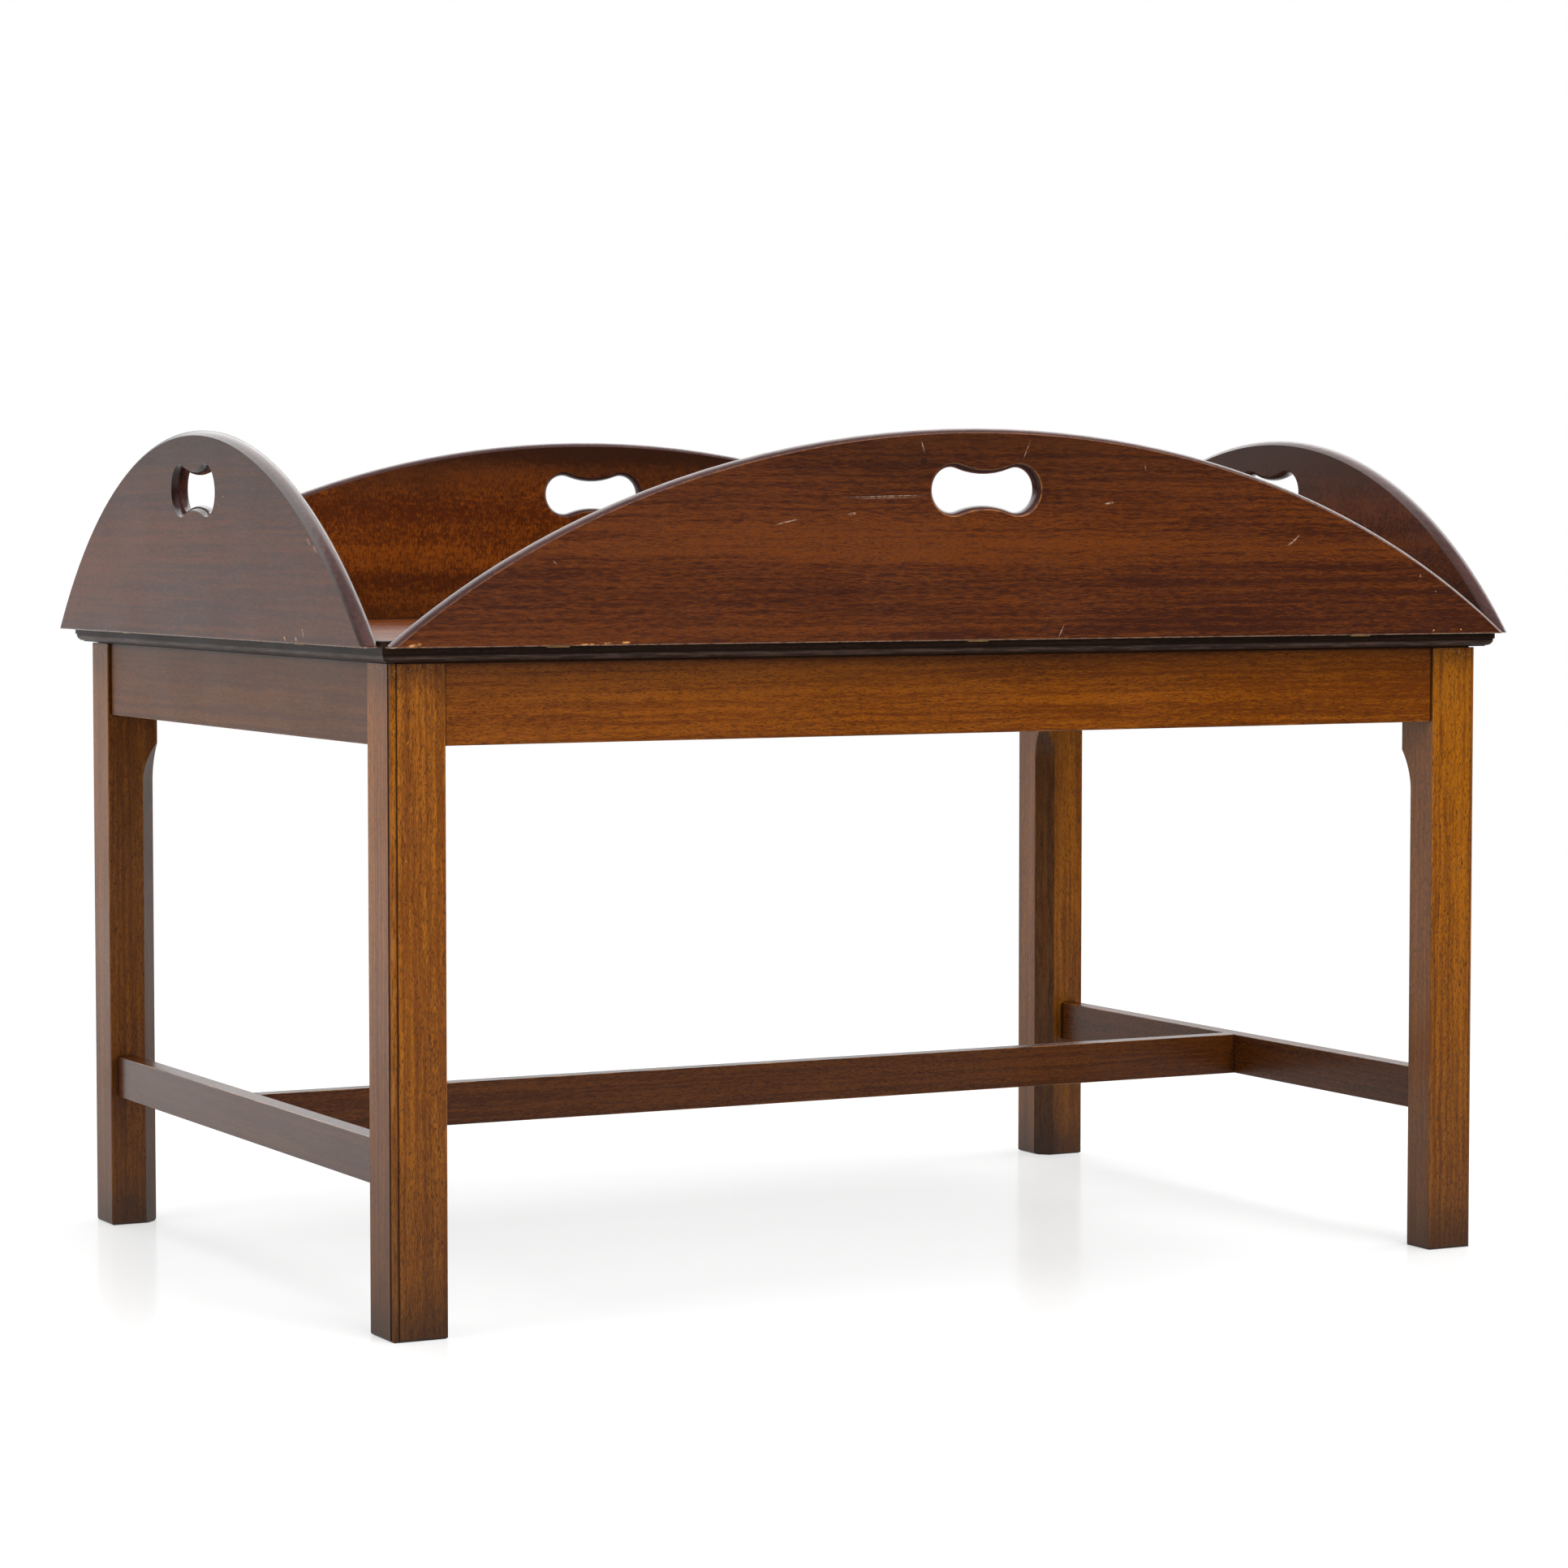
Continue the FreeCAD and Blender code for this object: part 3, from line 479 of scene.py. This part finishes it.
def leg_wood(corner, shift):
    """Mahogany for a leg: a dark chamfer, painted shade in the quirks, darker towards the floor and at the
    top, with a dirty foot.
    """
    recipe = new_material("leg_wood_" + corner)
    inner_corner, depth = LEGS[corner]
    grain = recipe.placed(GRAIN_ALONG["Z"], shift)
    colour, relief = straight_grain(recipe, grain, LEG_TONES, LEG_SHARES, LEG_PORES)
    colour = worn_arrises(recipe, grain, colour, HONEY, 0.5)
    # Painted shade in the quirks beside the ovolo
    colour = recipe.mix(recipe.math("MULTIPLY", quirk_shade_lines(recipe), 0.75), colour, DIRT_AND_SHADE)
    if corner == "front_left":
        flat = recipe.node("ShaderNodeCombineXYZ", recipe.axes["X"], recipe.axes["Z"]).outputs[0]
        front = recipe.ramp(recipe.vector("DOT_PRODUCT", recipe.normal, OUTWARD["front"]), 0.9, 0.98)
        dents = recipe.math("MULTIPLY", recipe.strokes(flat, FRONT_LEG_DENTS), front)
        scratches = recipe.math("MULTIPLY", recipe.strokes(flat, FRONT_LEG_SCRATCHES), front)
        colour = recipe.mix(recipe.math("MULTIPLY", dents, 0.75), colour, LEG_TONES[2])
        colour = recipe.mix(recipe.math("MULTIPLY", scratches, 0.5), colour, BARE_WOOD)
    uneven = recipe.math("MULTIPLY_ADD", recipe.noise(recipe.place, (30, 30, 12), 2), 0.05, recipe.axes["Z"])
    # Darker low down; higher up each leg by its own share, on the front right leg as painted shade
    low = recipe.ramp(uneven, *LEG_LOW, 0.52, depth)
    foot = recipe.ramp(uneven, *LEG_FOOT, 0.65, 0.0)
    chamfer = recipe.ramp(recipe.vector("DOT_PRODUCT", recipe.normal, inner_corner), 0.8, 0.95, 0.0, 0.6)
    crown = recipe.ramp(uneven, *LEG_CROWN, 0.0, 0.4)
    for darkening in (low, foot, chamfer, crown):
        colour = recipe.mix(darkening, colour, DIRT_AND_SHADE)
    specks = recipe.ramp(recipe.noise(recipe.place, (520, 520, 520), 2), 0.64, 0.70)
    specks = recipe.math("MULTIPLY", specks, recipe.ramp(recipe.axes["Z"], *LEG_SPECKS, 0.0, 0.6))
    colour = recipe.mix(specks, colour, PALE_SCRATCH)
    finish_wood(recipe, colour, relief, WAXED, gleam=LEG_GLEAM)
    return recipe.owner


def leaf_wood(side):
    """Mahogany for a leaf: plain outside, figured inside and darker near the tray as painted shade, and a
    dark rim whose corners are worn on the front and back leaves and darkened by painted shade on the left and
    right ones.
    """
    recipe = new_material("leaf_wood_" + side)
    inner_tones, shift, gleam, corner, marks = LEAVES[side]
    along = SIDE_GRAIN[side]
    grain = recipe.placed(GRAIN_ALONG[along], (shift, 0, 0))
    outside, relief = straight_grain(recipe, grain, OUTER_LEAF_TONES, LEAF_SHARES, LEAF_PORES)
    inside, inner_relief = mottled_grain(recipe, grain, inner_tones)
    facing = recipe.vector("DOT_PRODUCT", recipe.normal, OUTWARD[side])
    outer = recipe.ramp(facing, -0.3, 0.3)
    relief = recipe.between(outer, inner_relief, relief)

    height = recipe.math("MULTIPLY_ADD", recipe.noise(recipe.place, (16, 16, 16), 2), 0.05, recipe.axes["Z"])
    # Inside, painted shade darkens the leaf near the tray; it is also darker towards the top
    for darkening in (recipe.ramp(height, *LEAF_LOW, 0.4, 0.0), recipe.ramp(height, *LEAF_HIGH, 0.0, 0.6)):
        inside = recipe.mix(darkening, inside, DIRT_AND_SHADE)
    # Darker towards the top of the leaf, inside and out
    top_darkening = recipe.ramp(height, *LEAF_TOP_DARKENING, 0.0, 0.55)
    colour = recipe.mix(top_darkening, recipe.mix(outer, inside, outside), DIRT_AND_SHADE)

    turned = recipe.math("ABSOLUTE", facing)
    rim = recipe.ramp(turned, 0.88, 0.95, 1.0, 0.0)
    rim_colour, _ = straight_grain(recipe, grain, RIM_TONES, RIM_SHARES, RIM_PORES)
    colour = recipe.mix(rim, colour, rim_colour)
    relief = recipe.math("MULTIPLY", relief, recipe.math("SUBTRACT", 1.0, rim))

    broken = recipe.ramp(recipe.noise(recipe.place, (150, 150, 150), 3, 0.7), 0.38, 0.56)
    # Rim corners: worn on the front and back leaves, a dark line of painted shade on the left and right
    # leaves
    corner_tone, corner_gloss, start, least, most = corner
    edge = recipe.math("MULTIPLY", recipe.ramp(turned, start, 0.8), recipe.ramp(turned, 0.90, 0.96, 1.0, 0.0))
    edge_marks = recipe.math("MULTIPLY", edge, recipe.between(broken, least, most))
    colour = recipe.mix(edge_marks, colour, corner_tone)
    foot = recipe.ramp(recipe.axes["Z"], LEAF_FOOT, LEAF_FOOT + 0.0011, 1.0, 0.0)
    foot = recipe.math("MULTIPLY", foot, recipe.between(broken, 0.2, 0.65))
    colour = recipe.mix(foot, colour, RUBBED_ARRIS)

    if marks:
        flat = recipe.node("ShaderNodeCombineXYZ", recipe.axes[along], recipe.axes["Z"]).outputs[0]
        outside_only = recipe.ramp(facing, 0.4, 0.6)
        scuffs = recipe.ramp(recipe.noise(recipe.place, (420, 420, 420), 2), 0.40, 0.52, 0.25, 1.0)
        for strokes, (tone, share) in zip(marks, MARK_TONES):
            mark = recipe.math("MULTIPLY", recipe.strokes(flat, strokes), outside_only)
            mark = recipe.math("MULTIPLY", recipe.math("MULTIPLY", mark, scuffs), share)
            colour = recipe.mix(mark, colour, tone)
    gloss = recipe.between(edge_marks, recipe.between(rim, LEAF_POLISH, RIM_POLISH), corner_gloss)
    finish_wood(recipe, colour, relief, gloss, gleam=gleam)
    return recipe.owner


def metal(name, colour, dull, roughness):
    """Aged metal: a dull bloom that shines less, and fine scratches."""
    recipe = new_material(name)
    bloom = recipe.ramp(recipe.noise(recipe.place, (140, 140, 140), 2), 0.35, 0.75)
    scuffs = recipe.noise(recipe.place, (90, 2400, 900), 2)
    gloss = recipe.ramp(scuffs, 0.3, 0.7, roughness - 0.08, roughness + 0.12)
    shine = recipe.ramp(bloom, 0.0, 1.0, 0.6, 0.35)
    bump = recipe.node("ShaderNodeBump", 0.06, 0.0001, None, scuffs).outputs[0]
    recipe.surface(Base_Color=recipe.mix(bloom, colour, dull), Roughness=gloss, Metallic=shine, Normal=bump)
    return recipe.owner


def dress(node, material):
    """Give a CAD piece its material."""
    slots = nodes[node].data.materials
    slots.clear()
    slots.append(material)


def dress_stand():
    for index, corner in enumerate(LEGS):
        shift = (LEG_STEP[0] * index, LEG_STEP[1] * index, 0.0)
        dress("leg_" + corner, leg_wood(corner, shift))
        brace = board("brace_wood_" + corner, INNER_TONES, "X", shift, roughness=UNFINISHED,
                      worn=INNER_TONES[0])
        dress("corner_brace_" + corner, brace)
    for index, (side, along) in enumerate(SIDE_GRAIN.items()):
        shift = (SIDE_STEP[0] * index, SIDE_STEP[1] * index, 0.1)
        tones = APRON_TONES if along == "X" else END_APRON_TONES
        apron = board("apron_wood_" + side, tones, along, shift, shade_and_grime=APRON_SHADE_AND_GRIME_REACH, gleam=APRON_GLEAM,
                      between_legs=True)
        dress("apron_" + side, apron)
        dress("tray_edge_" + side, edge_wood(side, shift))
    for index, (place, (along, gleam)) in enumerate(STRETCHERS.items()):
        shift = (STRETCHER_STEP[0] * index, 0.0, STRETCHER_STEP[1] * index)
        wood = board("stretcher_wood_" + place, SHADED_STRETCHER_TONES, along, shift, roughness=POLISHED,
                     gleam=gleam, between_legs=along == "Y")
        dress("stretcher_" + place, wood)


def dress_tray():
    panel = board("tray_wood", TRAY_TONES, "X", (0, 0, 0), TRAY_SHARES, POLISHED, gleam=TRAY_GLEAM)
    dress("tray_panel", panel)
    for index, hand in enumerate(("left", "right")):
        shift = (BATTEN_STEP * index, 0, 0)
        batten = board("batten_wood_" + hand, INNER_TONES, "Y", shift, roughness=UNFINISHED,
                       worn=INNER_TONES[0])
        dress("tray_batten_" + hand, batten)
    for side in LEAVES:
        dress("leaf_" + side, leaf_wood(side))


def dress_metal():
    brass = metal("aged_brass", *BRASS)
    steel = metal("plain_steel", *STEEL)
    for node in nodes:
        if node in STEEL_NODES:
            dress(node, steel)
        elif node.startswith(("hinge_", "leaf_screws")):
            dress(node, brass)


def studio_floor():
    """White floor that fades into the backdrop. Only the camera sees it white: it lights the wood less."""
    bpy.ops.object.select_all(action="DESELECT")
    bpy.ops.mesh.primitive_circle_add(vertices=96, radius=FLOOR_RADIUS, fill_type="NGON", location=(0, 0, 0))
    floor = bpy.context.object
    floor.name = "studio_floor"
    recipe = new_material("studio_floor")
    seen = recipe.node("ShaderNodeLightPath").outputs["Is Camera Ray"]
    backdrop = recipe.ramp(recipe.axes["Y"], -2.0, 2.0, ROOM_FRONT, FLOOR_BACK)
    white = recipe.node("ShaderNodeEmission", (1, 1, 1, 1), recipe.math("MAXIMUM", seen, backdrop)).outputs[0]
    far = recipe.ramp(recipe.vector("LENGTH", recipe.place), *FLOOR_FADE, FLOOR_GLOW, 1.0)
    sheet = recipe.mix(seen, FLOOR_BOUNCE, FLOOR_WHITE)
    paper = recipe.surface(Base_Color=sheet, Roughness=0.15, Specular_IOR_Level=0.15)
    mixed = recipe.node("ShaderNodeMixShader", far, paper, white).outputs[0]
    recipe.feed(recipe.tree.nodes["Material Output"].inputs["Surface"], mixed)
    floor.data.materials.append(recipe.owner)


def studio_room():
    """White to the camera. Shiny surfaces see a bright backdrop behind the table and a dim room elsewhere."""
    world = bpy.data.worlds.new("studio_room")
    bpy.context.scene.world = world
    recipe = Recipe(world)
    path = recipe.node("ShaderNodeLightPath").outputs
    _, back, up = recipe.node("ShaderNodeSeparateXYZ", recipe.direction).outputs
    behind = recipe.ramp(up, 0.15, 0.4, ROOM_BACK, ROOM_UPPER_BACK)
    backdrop = recipe.ramp(back, 0.05, 0.4, ROOM_FRONT, behind)
    gleam = recipe.math("MAXIMUM", backdrop, recipe.ramp(up, 0.3, 0.8, 0.0, ROOM_CEILING))
    strength = recipe.between(path["Is Glossy Ray"], ROOM_FILL, gleam)
    strength = recipe.between(path["Is Camera Ray"], strength, 1.0)
    background = recipe.tree.nodes["Background"]
    background.inputs["Color"].default_value = (1, 1, 1, 1)
    recipe.feed(background.inputs["Strength"], strength)


def softbox(name, place, target, size, power):
    """Large square lamp aimed at a point; the room alone gleams in the wood."""
    bpy.ops.object.light_add(type="AREA", location=place)
    lamp = bpy.context.object
    lamp.name = name
    lamp.data.shape = "SQUARE"
    lamp.data.size = size
    lamp.data.energy = power
    lamp.visible_glossy = False
    away = [p - t for p, t in zip(place, target)]
    flat = math.hypot(away[0], away[1])
    lamp.rotation_euler = (math.atan2(flat, away[2]), 0, math.atan2(away[0], -away[1]))


def camera():
    bpy.ops.object.camera_add(location=CAMERA_PLACE, rotation=(math.pi / 2 - CAMERA_PITCH, 0, -CAMERA_YAW))
    bpy.context.object.data.lens = CAMERA_LENS
    bpy.context.scene.camera = bpy.context.object


dress_stand()
dress_tray()
dress_metal()
studio_floor()
studio_room()
for lamp_name, lamp_settings in SOFTBOXES.items():
    softbox(lamp_name, *lamp_settings)
camera()
bpy.context.scene.view_settings.view_transform = "Standard"
